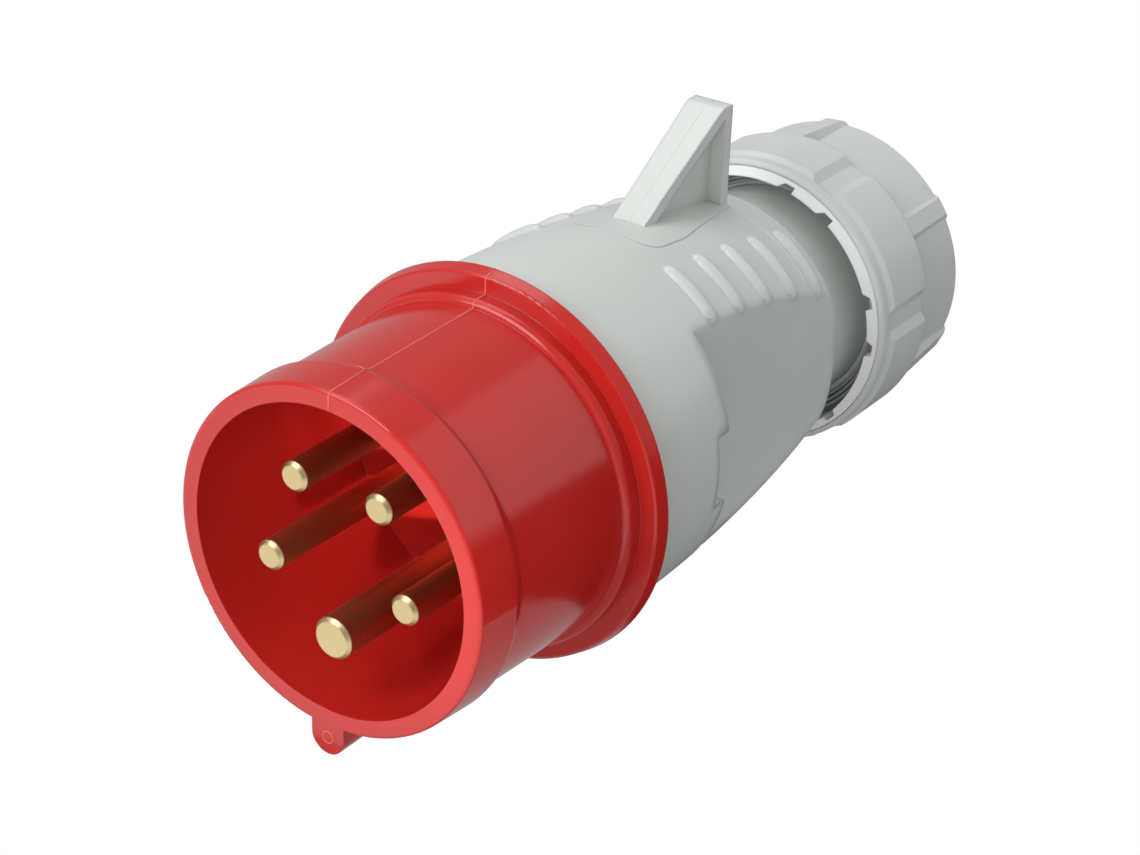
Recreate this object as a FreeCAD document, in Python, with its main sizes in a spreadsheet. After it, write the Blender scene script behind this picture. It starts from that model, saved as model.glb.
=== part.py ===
import FreeCAD, Part
import Sketcher
import math
import os
from types import SimpleNamespace

# CEE plug, five pole, 16 A.
# The plug's axis is Y. The rim of the shroud is the plane Y = 0 and faces -Y, and the cable leaves at +Y.
# Z is up: the catch for a socket's lid is on top, the key is at the bottom. Lengths are in mm.
# An angle round the axis is in degrees, from +X towards +Z. A station is a distance along the axis.

SIZES = [
    # Shroud
    ("mouth_radius", 28.5, "outer radius at the rim"),
    ("rim_wall", 3.1, "wall at the rim"),
    ("rim_edge", 0.6, "round on the rim's outer edge"),
    ("cavity_draft", 0.4, "how much narrower the cavity is at its floor"),
    ("floor_setback", 0.1, "flange front to cavity floor"),
    ("floor_thickness", 3.5, "wall that the contacts pass through"),
    ("lip_length", 8.0, "band behind the rim"),
    ("lip_flare", 0.4, "how much wider the band is at its rear"),
    ("lip_run", 2.2, "length of the soft step behind the band"),
    ("lip_round", 1.6, "radius of the two curves of that step"),
    ("waist_depth", 0.5, "rim's radius down to the skirt just behind the band"),
    ("skirt_flare", 0.3, "rim's radius up to the skirt at the shoulder"),
    ("shoulder_rise", 1.2, "height and round of the shoulder"),
    ("shoulder_length", 3.1, "shoulder to flange"),
    ("skirt_length", 37.9, "rim to the flange's front face"),
    ("flange_reach", 5.0, "rim's radius up to the flange at its back"),
    ("flange_draft", 0.5, "how much narrower the flange is at its front"),
    ("flange_edge", 0.5, "round on the flange's front edge"),
    ("flange_thickness", 2.4, "flange"),
    ("key_width", 6.2, "key under the rim"),
    ("key_rise", 4.8, "how far the key stands out from the rim"),
    ("key_length", 8.0, "key along the axis"),
    ("barrel_cover", 3.06, "housing's radius down to the rear barrel"),
    ("barrel_wall", 2.6, "wall of the rear barrel"),
    ("barrel_length", 14.0, "barrel behind the flange"),
    ("bayonet_count", 3, "bayonet lugs on the barrel"),
    ("bayonet_height", 1.2, "height of a bayonet lug"),
    ("bayonet_angle", 18.0, "width of a bayonet lug"),
    ("bayonet_turn_angle", 30.0, "turn from putting on to locking"),
    ("bayonet_play_angle", 1.0, "play of a lug in its slot"),
    ("bayonet_length", 3.0, "bayonet lug along the axis"),
    ("bayonet_setback", 6.5, "flange to bayonet lug"),
    ("bayonet_gap", 0.2, "clearance round a bayonet lug"),
    # Contacts
    ("pin_circle", 13.5, "radius of the circle of contacts"),
    ("pin_angle", 72.0, "angle between contacts"),
    ("earth_angle", -90.0, "place of the earth contact"),
    ("pin_radius", 2.5, "phase and neutral contacts"),
    ("earth_radius", 3.5, "earth contact"),
    ("pin_setback", 1.9, "rim to the tips of the phase contacts"),
    ("earth_setback", 1.0, "rim to the tip of the earth contact"),
    ("pin_bevel", 0.6, "bevel on the contact tips"),
    ("pin_fit", 0.05, "radial gap round a contact"),
    ("shank_rise", 0.3, "how much thicker a contact is in its wall"),
    ("terminal_radius", 4.3, "terminal end of a contact"),
    ("front_wall", 4.0, "carrier in front of the terminals"),
    ("terminal_length", 22.0, "terminal along the axis"),
    ("wire_radius", 1.8, "wire hole in a terminal"),
    ("wire_depth", 12.0, "depth of a wire hole"),
    ("screw_radius", 1.5, "terminal screw thread"),
    ("screw_head_radius", 2.4, "terminal screw head"),
    ("screw_head_height", 1.2, "terminal screw head"),
    ("screw_setback", 6.5, "terminal rear to its screw"),
    ("slot_width", 0.8, "driver slot of a screw"),
    ("slot_depth", 0.7, "driver slot of a screw"),
    ("saddle_thickness", 0.6, "wire saddle"),
    ("saddle_length", 6.0, "wire saddle"),
    # Carrier and its rear plate
    ("carrier_fit", 0.15, "radial gap between carrier and barrel"),
    ("carrier_gap", 0.4, "gap between carrier and the housing's flat sides"),
    ("window_gap", 0.4, "gap round a screw head"),
    ("plate_thickness", 2.6, "rear plate of the carrier"),
    ("plate_wire_radius", 2.9, "wire holes in the plate"),
    ("plate_screw_radius", 1.3, "plate screw thread"),
    ("plate_screw_head", 2.4, "plate screw head"),
    ("plate_screw_head_height", 1.6, "plate screw head"),
    ("plate_screw_length", 10.0, "plate screw thread length"),
    # Gasket
    ("gasket_thickness", 1.0, "seal between flange and housing"),
    ("gasket_width", 2.06, "seal between its two edges"),
    # Rear housing
    ("housing_wall", 2.4, "wall of the housing"),
    ("straight_length", 7.5, "housing in front of its bow"),
    ("bow_radius", 280.0, "radius of the housing's lengthwise bow"),
    ("bow_length", 57.6, "bow along the axis"),
    ("shoulder_reach", 3.8, "rear shoulder along the axis"),
    ("shoulder_radius", 5.6, "round of the rear shoulder"),
    ("root_reach", 2.8, "hollow round between shoulder and neck"),
    ("root_radius", 3.1, "radius of that hollow round"),
    ("root_rise", 1.8, "hollow round across the axis"),
    ("neck_radius", 20.0, "neck that carries the nut"),
    ("neck_length", 20.0, "neck along the axis"),
    ("socket_fit", 0.2, "radial gap between barrel and housing"),
    ("ledge_thickness", 3.6, "ledge that the seal rests on"),
    ("ledge_radius", 14.0, "hole in the ledge"),
    ("ledge_sink", 2.6, "seal's seat in front of the neck"),
    ("gland_bore", 17.5, "bore of the neck"),
    ("flat_cover", 4.0, "terminals to the flat sides"),
    ("flat_depth", 8.86, "housing's radius behind the flange down to the flat sides"),
    ("flat_setback", 21.8, "housing front to the flat sides"),
    ("notch_length", 3.6, "notch in front of each flat side"),
    ("notch_width", 12.4, "width of that notch"),
    ("rib_setback", 28.0, "housing front to the first grip rib"),
    ("rib_pitch", 8.4, "distance between grip ribs"),
    ("rib_count", 5, "grip ribs on each side"),
    ("rib_section", 1.6, "radius of a rib's round section"),
    ("rib_height", 0.8, "how far a rib stands out"),
    ("rib_upper_side", 13.3, "middle plane to the ribs' upper ends"),
    ("rib_inset", 0.3, "flat sides to the ribs' lower ends"),
    ("scallop_setback", 30.0, "housing front to the first valley of the underside"),
    ("scallop_pitch", 10.1, "distance between valleys"),
    ("scallop_count", 4, "valleys"),
    ("scallop_depth", 0.75, "depth of the valleys"),
    ("scallop_radius", 18.0, "radius of the swells between valleys"),
    ("scallop_angle", 94.0, "how far round the underside the valleys go"),
    # Catch for a socket's lid
    ("fin_setback", 34.3, "housing front to the foot of the slope"),
    ("fin_length", 25.4, "catch along the axis"),
    ("fin_foot_width", 6.2, "width at the foot"),
    ("fin_rear_width", 7.4, "width at the rear"),
    ("fin_foot_height", 28.7, "axis to the foot of the slope"),
    ("fin_height", 43.4, "axis to the top"),
    ("fin_flat", 2.6, "flat top along the axis"),
    ("fin_round_reach", 0.9, "how far the round between slope and top reaches to each side"),
    ("fin_plate", 2.1, "sloping and rear plates"),
    ("fin_web", 2.0, "web between them"),
    ("pad_rise", 0.15, "raised pad round the foot of the catch"),
    ("pad_lead", 5.4, "pad in front of the foot"),
    ("pad_width", 17.4, "width of the pad"),
    ("pad_corner", 4.0, "round on the pad's front corners"),
    ("pad_straight", 10.0, "length over which the pad keeps its width"),
    ("pad_rear_width", 9.0, "width of the pad at the rear"),
    # Gland
    ("seal_fit", 0.1, "radial gap round the seal"),
    ("seal_length", 9.6, "cable seal"),
    ("seal_bore", 6.0, "cable hole in the seal"),
    ("seal_dish", 2.5, "depth of the funnel in the seal"),
    ("seal_funnel", 12.0, "radius of the funnel in the seal"),
    ("washer_thickness", 1.0, "slip washer"),
    ("washer_bore", 12.5, "hole in the slip washer"),
    ("cage_travel", 8.0, "way of the clamping cage to the washer"),
    ("cage_slack", 0.3, "gap that is left when the cage is pressed in"),
    ("cage_ring", 3.6, "ring of the cage along the axis"),
    ("cage_fit", 0.3, "radial gap between cage and neck"),
    ("cage_wall", 2.6, "wall of the cage"),
    ("finger_tip", 1.8, "wall at the finger tips"),
    ("cage_slot", 2.0, "slot between fingers"),
    ("finger_count", 8, "fingers of the cage"),
    ("finger_gap", 0.4, "gap between the fingers and the nut"),
    # Nut
    ("nut_setback", 4.2, "neck root to the front of the nut's ring"),
    ("nut_length", 31.3, "ring's front to the nut's rear"),
    ("nut_rim_radius", 26.6, "front rim of the nut"),
    ("nut_edge", 0.9, "round on the front rim"),
    ("nut_phase", 35.2, "place of the first grip pad"),
    ("grip_count", 6, "grip pads round the nut"),
    ("pad_radius", 27.3, "grip pads"),
    ("pad_start", 3.6, "ring's front to the pads"),
    ("pad_slope", 1.0, "sloping front of the pads"),
    ("pad_length", 12.2, "grip pads along the axis"),
    ("recess_depth", 1.1, "recess between pads"),
    ("recess_width", 3.0, "recess at its floor"),
    ("recess_flare", 2.0, "sloping side of a recess"),
    ("tail_radius", 25.2, "rear section of the nut"),
    ("tail_edge", 1.0, "round on the rear edge"),
    ("tail_rib_width", 3.2, "ribs on the rear section, at their top"),
    ("tail_rib_foot", 5.6, "ribs on the rear section, at their foot"),
    ("tail_rib_radius", 27.1, "ribs at their front"),
    ("tail_rib_end_radius", 25.8, "ribs at their rear"),
    ("ring_seat", 25.6, "seat of the ratchet ring"),
    ("ring_slope", 1.3, "how far the ring's front slopes"),
    ("ring_length", 5.3, "ratchet ring along the axis"),
    ("ring_fit", 0.08, "radial gap round the ratchet ring"),
    ("ring_bore", 24.0, "inside of the ratchet ring"),
    ("ring_phase", 6.8, "place of the first pair of notches"),
    ("notch_depth", 0.9, "ratchet notches"),
    ("notch_span", 3.0, "width of a ratchet notch"),
    ("notch_slant", 1.0, "sloping side of a ratchet notch"),
    ("notch_angle", 10.3, "from a pair's middle to its notches"),
    ("thread_fit", 0.08, "radial gap of the thread"),
    ("mouth_depth", 7.8, "ring's front to the nut's thread"),
    ("cone_radius", 17.6, "wide end of the nut's cone"),
    ("cone_end_radius", 11.4, "narrow end of the nut's cone"),
    ("cone_length", 4.3, "cone along the axis"),
    ("cable_mouth", 10.4, "cable opening in the rear wall"),
    ("nut_back_wall", 1.8, "rear wall of the nut"),
]

CONTACTS = ["pin_earth", "pin_l1", "pin_l2", "pin_l3", "pin_neutral"]

doc = FreeCAD.newDocument("cee_plug")
sheet = doc.addObject("Spreadsheet::Sheet", "Sizes")


class Size:
    """A length, angle or count together with the sheet expression that gives it."""

    def __init__(self, number, text):
        self.number = number
        self.text = text

    def __add__(self, other):
        other = as_size(other)
        return Size(self.number + other.number, f"({self.text} + {other.text})")

    def __sub__(self, other):
        other = as_size(other)
        return Size(self.number - other.number, f"({self.text} - {other.text})")

    def __mul__(self, other):
        other = as_size(other)
        return Size(self.number * other.number, f"({self.text} * {other.text})")

    def __truediv__(self, other):
        other = as_size(other)
        return Size(self.number / other.number, f"({self.text} / {other.text})")

    def __neg__(self):
        return as_size(0) - self


def as_size(value):
    """A plain number as a Size."""
    if isinstance(value, Size):
        return value
    return Size(value, str(value))


def sine(angle):
    return Size(math.sin(math.radians(angle.number)), f"sin({angle.text})")


def cosine(angle):
    return Size(math.cos(math.radians(angle.number)), f"cos({angle.text})")


def angle_with(cosine_value):
    """The angle that has this cosine."""
    return Size(math.degrees(math.acos(cosine_value.number)), f"acos({cosine_value.text})")


def square_root(value):
    return Size(math.sqrt(value.number), f"sqrt({value.text})")


def fill_sheet():
    """Write the driving sizes into the sheet, and return them by name."""
    sizes = SimpleNamespace()
    for row, (name, number, note) in enumerate(SIZES, start=1):
        sheet.set(f"A{row}", name)
        sheet.set(f"B{row}", str(number))
        sheet.setAlias(f"B{row}", name)
        sheet.set(f"C{row}", note)
        setattr(sizes, name, Size(number, f"Sizes.{name}"))
    doc.recompute()
    return sizes


S = fill_sheet()

# Stations along the axis
cavity_floor = S.skirt_length + S.floor_setback
floor_back = cavity_floor + S.floor_thickness
flange_back = S.skirt_length + S.flange_thickness
barrel_end = flange_back + S.barrel_length
terminal_front = floor_back + S.front_wall
terminal_end = terminal_front + S.terminal_length
housing_front = flange_back + S.gasket_thickness
bow_start = housing_front + S.straight_length
bow_end = bow_start + S.bow_length
neck_start = bow_end + S.shoulder_reach + S.root_reach
neck_end = neck_start + S.neck_length
flat_start = housing_front + S.flat_setback
chamber_start = flat_start - S.notch_length - S.housing_wall
seal_front = neck_start - S.ledge_sink
chamber_end = seal_front - S.ledge_thickness
seal_end = seal_front + S.seal_length
washer_end = seal_end + S.washer_thickness
cage_start = washer_end + S.cage_slack + S.cage_travel
nut_front = neck_start + S.nut_setback
nut_end = nut_front + S.nut_length
cone_end = nut_end - S.nut_back_wall
cone_start = cone_end - S.cone_length
ring_end = nut_front + S.ring_length
fin_foot = housing_front + S.fin_setback
fin_rear = fin_foot + S.fin_length

# Radii that follow from others
cavity_radius = S.mouth_radius - S.rim_wall
waist_radius = S.mouth_radius - S.waist_depth
skirt_radius = S.mouth_radius + S.skirt_flare
flange_radius = S.mouth_radius + S.flange_reach
flat_distance = S.pin_circle + S.terminal_radius + S.flat_cover
housing_radius = flat_distance + S.flat_depth
barrel_radius = housing_radius - S.barrel_cover
barrel_bore = barrel_radius - S.barrel_wall
socket_radius = barrel_radius + S.socket_fit
inner_flat = flat_distance - S.housing_wall
carrier_radius = barrel_bore - S.carrier_fit
carrier_rear_radius = inner_flat - S.carrier_gap
carrier_step = chamber_start - S.carrier_gap
nut_bore = S.neck_radius + S.thread_fit
pin_shank = S.pin_radius + S.shank_rise
earth_shank = S.earth_radius + S.shank_rise


def bow_radius_at(station):
    """The housing's outer radius at a station of its bow."""
    along = station - bow_start
    return housing_radius - S.bow_radius + square_root(S.bow_radius * S.bow_radius - along * along)


def bind(thing, prop, size):
    """Tie a property to the sheet."""
    thing.setExpression(prop, as_size(size).text)


def new_body(label):
    body = doc.addObject("PartDesign::Body", label)
    body.Label = label
    return body


def origin_feature(body, role):
    """One of the body's own origin planes or axes."""
    return next(item for item in body.Origin.OriginFeatures if item.Role == role)


def new_sketch(body, name, role):
    sketch = body.newObject("Sketcher::SketchObject", name)
    sketch.AttachmentSupport = [(origin_feature(body, role), "")]
    sketch.MapMode = "FlatFace"
    return sketch


def section_sketch(body, name, station):
    """A sketch across the axis at a station. Its x is X and its y is Z."""
    sketch = new_sketch(body, name, "XZ_Plane")
    bind(sketch, "AttachmentOffset.Base.z", -station)
    return sketch


def plane_point(corner):
    return FreeCAD.Vector(as_size(corner[0]).number, as_size(corner[1]).number, 0)


def arc_between(start, end, radius, turn):
    """The short arc from start to end. turn is 1 for a left turn on its way, -1 for a right turn."""
    half = (end - start) * 0.5
    left = FreeCAD.Vector(-half.y, half.x, 0).normalize()
    rise = math.sqrt(max(radius * radius - half.Length * half.Length, 0.0))
    center = start + half + left * rise * turn
    first, last = (start, end) if turn > 0 else (end, start)
    first_angle = math.atan2(first.y - center.y, first.x - center.x)
    last_angle = math.atan2(last.y - center.y, last.x - center.x)
    if last_angle < first_angle:
        last_angle += 2 * math.pi
    circle = Part.Circle(center, FreeCAD.Vector(0, 0, 1), radius)
    return Part.ArcOfCircle(circle, first_angle, last_angle)


def set_constraint(sketch, kind, size, *where):
    """Add a dimension to a sketch and tie it to the sheet."""
    size = as_size(size)
    number = sketch.addConstraint(Sketcher.Constraint(kind, *where, size.number))
    sketch.setExpression(f"Constraints[{number}]", size.text)


def set_point(sketch, index, end, corner):
    """Fix a point of a sketch at its corner. A plain 0 puts it on the sketch's own axis."""
    for size, kind, axis in ((corner[0], "DistanceX", -2), (corner[1], "DistanceY", -1)):
        if isinstance(size, int):
            sketch.addConstraint(Sketcher.Constraint("PointOnObject", index, end, axis))
        else:
            set_constraint(sketch, kind, size, -1, 1, index, end)


def draw_outline(sketch, corners, arcs=None):
    """A closed outline. arcs gives radius and turn of each side that is an arc, by its first corner."""
    arcs = arcs or {}
    sides = []
    for index, corner in enumerate(corners):
        start = plane_point(corner)
        end = plane_point(corners[(index + 1) % len(corners)])
        if index in arcs:
            radius, turn = arcs[index]
            number = sketch.addGeometry(arc_between(start, end, radius.number, turn), False)
            sides.append((number, 1, 2) if turn > 0 else (number, 2, 1))
        else:
            number = sketch.addGeometry(Part.LineSegment(start, end), False)
            sides.append((number, 1, 2))
    for index, (number, first, last) in enumerate(sides):
        following = sides[(index + 1) % len(sides)]
        sketch.addConstraint(Sketcher.Constraint("Coincident", number, last, following[0], following[1]))
        set_point(sketch, number, first, corners[index])
    for index, (radius, turn) in arcs.items():
        set_constraint(sketch, "Radius", radius, sides[index][0])


def draw_circles(sketch, circles):
    """Circles given as (x, y, radius)."""
    for x, y, radius in circles:
        circle = Part.Circle(plane_point((x, y)), FreeCAD.Vector(0, 0, 1), radius.number)
        index = sketch.addGeometry(circle, False)
        set_point(sketch, index, 3, (x, y))
        set_constraint(sketch, "Radius", radius, index)


def turn_outline(body, name, corners, arcs=None, angle=360, kind="PartDesign::Revolution"):
    """Turn an outline of (station, radius) corners round the body's Y axis."""
    sketch = new_sketch(body, name + "_outline", "XY_Plane")
    draw_outline(sketch, [(radius, station) for station, radius in corners], arcs)
    feature = body.newObject(kind, name)
    feature.Profile = sketch
    feature.ReferenceAxis = (sketch, ["V_Axis"])
    bind(feature, "Angle", angle)
    return feature


def turned_body(label, corners, arcs=None):
    """A body turned from one outline."""
    body = new_body(label)
    turn_outline(body, label + "_turned", corners, arcs)
    return body


def cut_section(body, name, sketch, depth):
    """Cut a section sketch towards +Y."""
    pocket = body.newObject("PartDesign::Pocket", name)
    pocket.Profile = sketch
    bind(pocket, "Length", depth)
    return pocket


def raise_section(body, name, sketch, length):
    """Raise a section sketch towards +Y."""
    pad = body.newObject("PartDesign::Pad", name)
    pad.Profile = sketch
    pad.Reversed = True
    bind(pad, "Length", length)
    return pad


def raise_middle(body, name, sketch, width):
    """Raise a sketch by half the width to each side of its plane."""
    pad = body.newObject("PartDesign::Pad", name)
    pad.Profile = sketch
    pad.SideType = "Symmetric"
    bind(pad, "Length", width)
    return pad


def repeat_round(body, name, features, count):
    """Repeat features evenly round the body's Y axis."""
    pattern = body.newObject("PartDesign::PolarPattern", name)
    pattern.Originals = features
    pattern.Axis = (origin_feature(body, "Y_Axis"), [""])
    pattern.Angle = 360
    bind(pattern, "Occurrences", count)
    body.Tip = pattern
    return pattern


def turn_by(thing, angle):
    """Turn an object round the plug's axis, from +X towards +Z."""
    thing.Placement.Rotation = FreeCAD.Rotation(FreeCAD.Vector(0, -1, 0), angle.number)
    bind(thing, "Placement.Rotation.Angle", angle)


def join(label, things):
    union = doc.addObject("Part::MultiFuse", label)
    union.Label = label
    union.Shapes = things
    return union


def subtract(label, base, tool):
    difference = doc.addObject("Part::Cut", label)
    difference.Label = label
    difference.Base = base
    difference.Tool = tool
    return difference


def overlap_of(label, first, second):
    common = doc.addObject("Part::MultiCommon", label)
    common.Label = label
    common.Shapes = [first, second]
    return common


def block(label, low, high):
    """A box between two corners."""
    box = doc.addObject("Part::Box", label)
    for side, axis, start, end in zip(("Length", "Width", "Height"), "xyz", low, high):
        start = as_size(start)
        bind(box, side, as_size(end) - start)
        bind(box, f"Placement.Base.{axis}", start)
    return box


def rod(label, radius, start, end):
    """A cylinder on the plug's axis between two stations."""
    cylinder = doc.addObject("Part::Cylinder", label)
    cylinder.Placement.Rotation = FreeCAD.Rotation(FreeCAD.Vector(1, 0, 0), -90)
    bind(cylinder, "Radius", radius)
    bind(cylinder, "Height", end - start)
    bind(cylinder, "Placement.Base.y", start)
    return cylinder


def contact_angles(first):
    """The contacts' angles when the earth contact is at the first one."""
    return [first + S.pin_angle * index for index in range(len(CONTACTS))]


def contact_holes(first, earth, others):
    """Circles at the contacts, one radius for the earth contact and one for the others."""
    circles = []
    for index, angle in enumerate(contact_angles(first)):
        radius = earth if index == 0 else others
        circles.append((S.pin_circle * cosine(angle), S.pin_circle * sine(angle), radius))
    return circles


def make_shroud():
    """The red front: skirt, flange, floor and rear barrel in one moulding, with key and bayonet lugs."""
    waist_start = S.lip_length + S.lip_run
    lip_radius = S.mouth_radius + S.lip_flare
    shoulder = S.skirt_length - S.shoulder_length
    collar_radius = skirt_radius + S.shoulder_rise
    flange_front_radius = flange_radius - S.flange_draft
    corners = [
        (0, cavity_radius),
        (0, S.mouth_radius - S.rim_edge),
        (S.rim_edge, S.mouth_radius),
        (S.lip_length, lip_radius),
        (S.lip_length + S.lip_run / 2, (lip_radius + waist_radius) / 2),
        (waist_start, waist_radius),
        (shoulder, skirt_radius),
        (shoulder + S.shoulder_rise, collar_radius),
        (S.skirt_length, collar_radius),
        (S.skirt_length, flange_front_radius - S.flange_edge),
        (S.skirt_length + S.flange_edge, flange_front_radius),
        (flange_back, flange_radius),
        (flange_back, barrel_radius),
        (barrel_end, barrel_radius),
        (barrel_end, barrel_bore),
        (floor_back, barrel_bore),
        (floor_back, 0),
        (cavity_floor, 0),
        (cavity_floor, cavity_radius - S.cavity_draft),
    ]
    arcs = {
        1: (S.rim_edge, 1),
        3: (S.lip_round, 1),
        4: (S.lip_round, -1),
        6: (S.shoulder_rise, 1),
        9: (S.flange_edge, 1),
    }
    body = turned_body("shroud_turned", corners, arcs)
    lug_start = flange_back + S.bayonet_setback
    lug_end = lug_start + S.bayonet_length
    lug_top = barrel_radius + S.bayonet_height
    lug_foot = barrel_radius - S.barrel_wall / 2
    lug = turn_outline(body, "bayonet_lug", [
        (lug_start, lug_foot), (lug_start, lug_top), (lug_end, lug_top), (lug_end, lug_foot),
    ], angle=S.bayonet_angle)
    lug.Midplane = True
    repeat_round(body, "bayonet_lugs", [lug], S.bayonet_count)
    holes = section_sketch(body, "contact_holes", cavity_floor)
    draw_circles(holes, contact_holes(S.earth_angle, earth_shank + S.pin_fit, pin_shank + S.pin_fit))
    cut_section(body, "contact_holes_cut", holes, S.floor_thickness)
    half_key = S.key_width / 2
    key_center = S.mouth_radius + S.key_rise - half_key
    key_root = S.mouth_radius - S.rim_wall / 2
    key_plate = block("key_plate", (-half_key, 0, -key_center), (half_key, S.key_length, -key_root))
    key_nose = rod("key_nose", half_key, as_size(0), S.key_length)
    bind(key_nose, "Placement.Base.z", -key_center)
    return join("shroud", [body, key_plate, key_nose])


def make_contact(index, angle):
    """A brass contact: round pin, thicker shank in the wall, terminal with wire hole and screw hole."""
    label = CONTACTS[index]
    radius = S.earth_radius if index == 0 else S.pin_radius
    shank = earth_shank if index == 0 else pin_shank
    tip = S.earth_setback if index == 0 else S.pin_setback
    wire_start = terminal_end - S.wire_depth
    body = turned_body(label, [
        (tip, 0),
        (tip, radius - S.pin_bevel),
        (tip + S.pin_bevel, radius),
        (cavity_floor, radius),
        (cavity_floor, shank),
        (terminal_front, shank),
        (terminal_front, S.terminal_radius),
        (terminal_end, S.terminal_radius),
        (terminal_end, S.wire_radius),
        (wire_start, S.wire_radius),
        (wire_start, 0),
    ])
    hole = new_sketch(body, label + "_screw_hole", "YZ_Plane")
    draw_circles(hole, [(terminal_end - S.screw_setback, 0, S.screw_radius + S.pin_fit)])
    pocket = body.newObject("PartDesign::Pocket", label + "_screw_hole_cut")
    pocket.Profile = hole
    pocket.Reversed = True
    bind(pocket, "Length", S.terminal_radius)
    turn_by(body, angle)
    bind(body, "Placement.Base.x", S.pin_circle * cosine(angle))
    bind(body, "Placement.Base.z", S.pin_circle * sine(angle))
    return body


def make_terminal_screws():
    """Slotted screws that press on the wires, one for each contact."""
    body = new_body("terminal_screws")
    foot = S.pin_circle + S.wire_radius
    head = S.pin_circle + S.terminal_radius + S.pin_fit
    top = head + S.screw_head_height
    outline = new_sketch(body, "screw_outline", "XY_Plane")
    station = terminal_end - S.screw_setback
    draw_outline(outline, [
        (foot, station),
        (foot, station + S.screw_radius),
        (head, station + S.screw_radius),
        (head, station + S.screw_head_radius),
        (top, station + S.screw_head_radius),
        (top, station),
    ])
    screw = body.newObject("PartDesign::Revolution", "screw")
    screw.Profile = outline
    screw.ReferenceAxis = (outline, ["Edge6"])
    screw.Angle = 360
    slot_outline = new_sketch(body, "slot_outline", "XY_Plane")
    draw_outline(slot_outline, [
        (top - S.slot_depth, station - S.slot_width / 2),
        (top + S.slot_depth, station - S.slot_width / 2),
        (top + S.slot_depth, station + S.slot_width / 2),
        (top - S.slot_depth, station + S.slot_width / 2),
    ])
    slot = body.newObject("PartDesign::Pocket", "slot")
    slot.Profile = slot_outline
    slot.SideType = "Symmetric"
    bind(slot, "Length", S.screw_head_radius * 3)
    repeat_round(body, "five_screws", [screw, slot], len(CONTACTS))
    turn_by(body, S.earth_angle)
    return body


def make_wire_saddles():
    """Thin saddles between screw and wire, each the outer slice of a wire hole."""
    body = new_body("wire_saddles")
    reach = S.wire_radius - S.pin_fit
    chord = reach - S.saddle_thickness
    half_width = square_root(reach * reach - chord * chord)
    sketch = section_sketch(body, "saddle_outline", terminal_end - S.screw_setback - S.saddle_length / 2)
    side = S.pin_circle + chord
    draw_outline(sketch, [(side, -half_width), (side, half_width)], {0: (reach, 1)})
    saddle = raise_section(body, "saddle", sketch, S.saddle_length)
    repeat_round(body, "five_saddles", [saddle], len(CONTACTS))
    turn_by(body, S.earth_angle)
    return body


def plate_screw_places():
    """Angles of the two plate screws, seen from the earth contact, each halfway between two contacts."""
    return [S.pin_angle * 1.5, S.pin_angle * 3.5]


def at_angle(radius, angle):
    return radius * cosine(angle), radius * sine(angle)


def make_contact_carrier():
    """The insulating block that holds the contacts, with a chamber and a screw window for each."""
    body = turned_body("contact_carrier", [
        (floor_back, 0),
        (floor_back, carrier_radius),
        (carrier_step, carrier_radius),
        (carrier_step, carrier_rear_radius),
        (terminal_end, carrier_rear_radius),
        (terminal_end, 0),
    ])
    front = section_sketch(body, "front_holes", floor_back)
    draw_circles(front, contact_holes(as_size(0), earth_shank + S.pin_fit, pin_shank + S.pin_fit))
    cut_section(body, "front_holes_cut", front, S.front_wall)
    chambers = section_sketch(body, "chambers", terminal_front)
    chamber_radius = S.terminal_radius + S.pin_fit
    draw_circles(chambers, contact_holes(as_size(0), chamber_radius, chamber_radius))
    cut_section(body, "chambers_cut", chambers, S.terminal_length)
    thread_depth = S.plate_screw_length - S.plate_thickness
    threads = section_sketch(body, "screw_threads", terminal_end - thread_depth)
    draw_circles(threads, [
        (*at_angle(S.pin_circle, angle), S.plate_screw_radius + S.pin_fit) for angle in plate_screw_places()
    ])
    cut_section(body, "screw_threads_cut", threads, thread_depth)
    window_outline = new_sketch(body, "window_outline", "YZ_Plane")
    bind(window_outline, "AttachmentOffset.Base.z", S.pin_circle)
    window_radius = S.screw_head_radius + S.window_gap
    draw_circles(window_outline, [(terminal_end - S.screw_setback, 0, window_radius)])
    window = body.newObject("PartDesign::Pocket", "window")
    window.Profile = window_outline
    window.Reversed = True
    bind(window, "Length", carrier_radius)
    repeat_round(body, "windows", [window], len(CONTACTS))
    turn_by(body, S.earth_angle)
    return body


def make_contact_retainer():
    """The rear plate that keeps the contacts in their chambers."""
    plate_end = terminal_end + S.plate_thickness
    body = turned_body("contact_retainer", [
        (terminal_end, 0),
        (terminal_end, carrier_rear_radius),
        (plate_end, carrier_rear_radius),
        (plate_end, 0),
    ])
    holes = section_sketch(body, "wire_holes", terminal_end)
    draw_circles(holes, contact_holes(as_size(0), S.plate_wire_radius, S.plate_wire_radius))
    cut_section(body, "wire_holes_cut", holes, S.plate_thickness)
    screw_holes = section_sketch(body, "screw_holes", terminal_end)
    draw_circles(screw_holes, [
        (*at_angle(S.pin_circle, angle), S.plate_screw_radius + S.pin_fit) for angle in plate_screw_places()
    ])
    cut_section(body, "screw_holes_cut", screw_holes, S.plate_thickness)
    turn_by(body, S.earth_angle)
    return body


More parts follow.
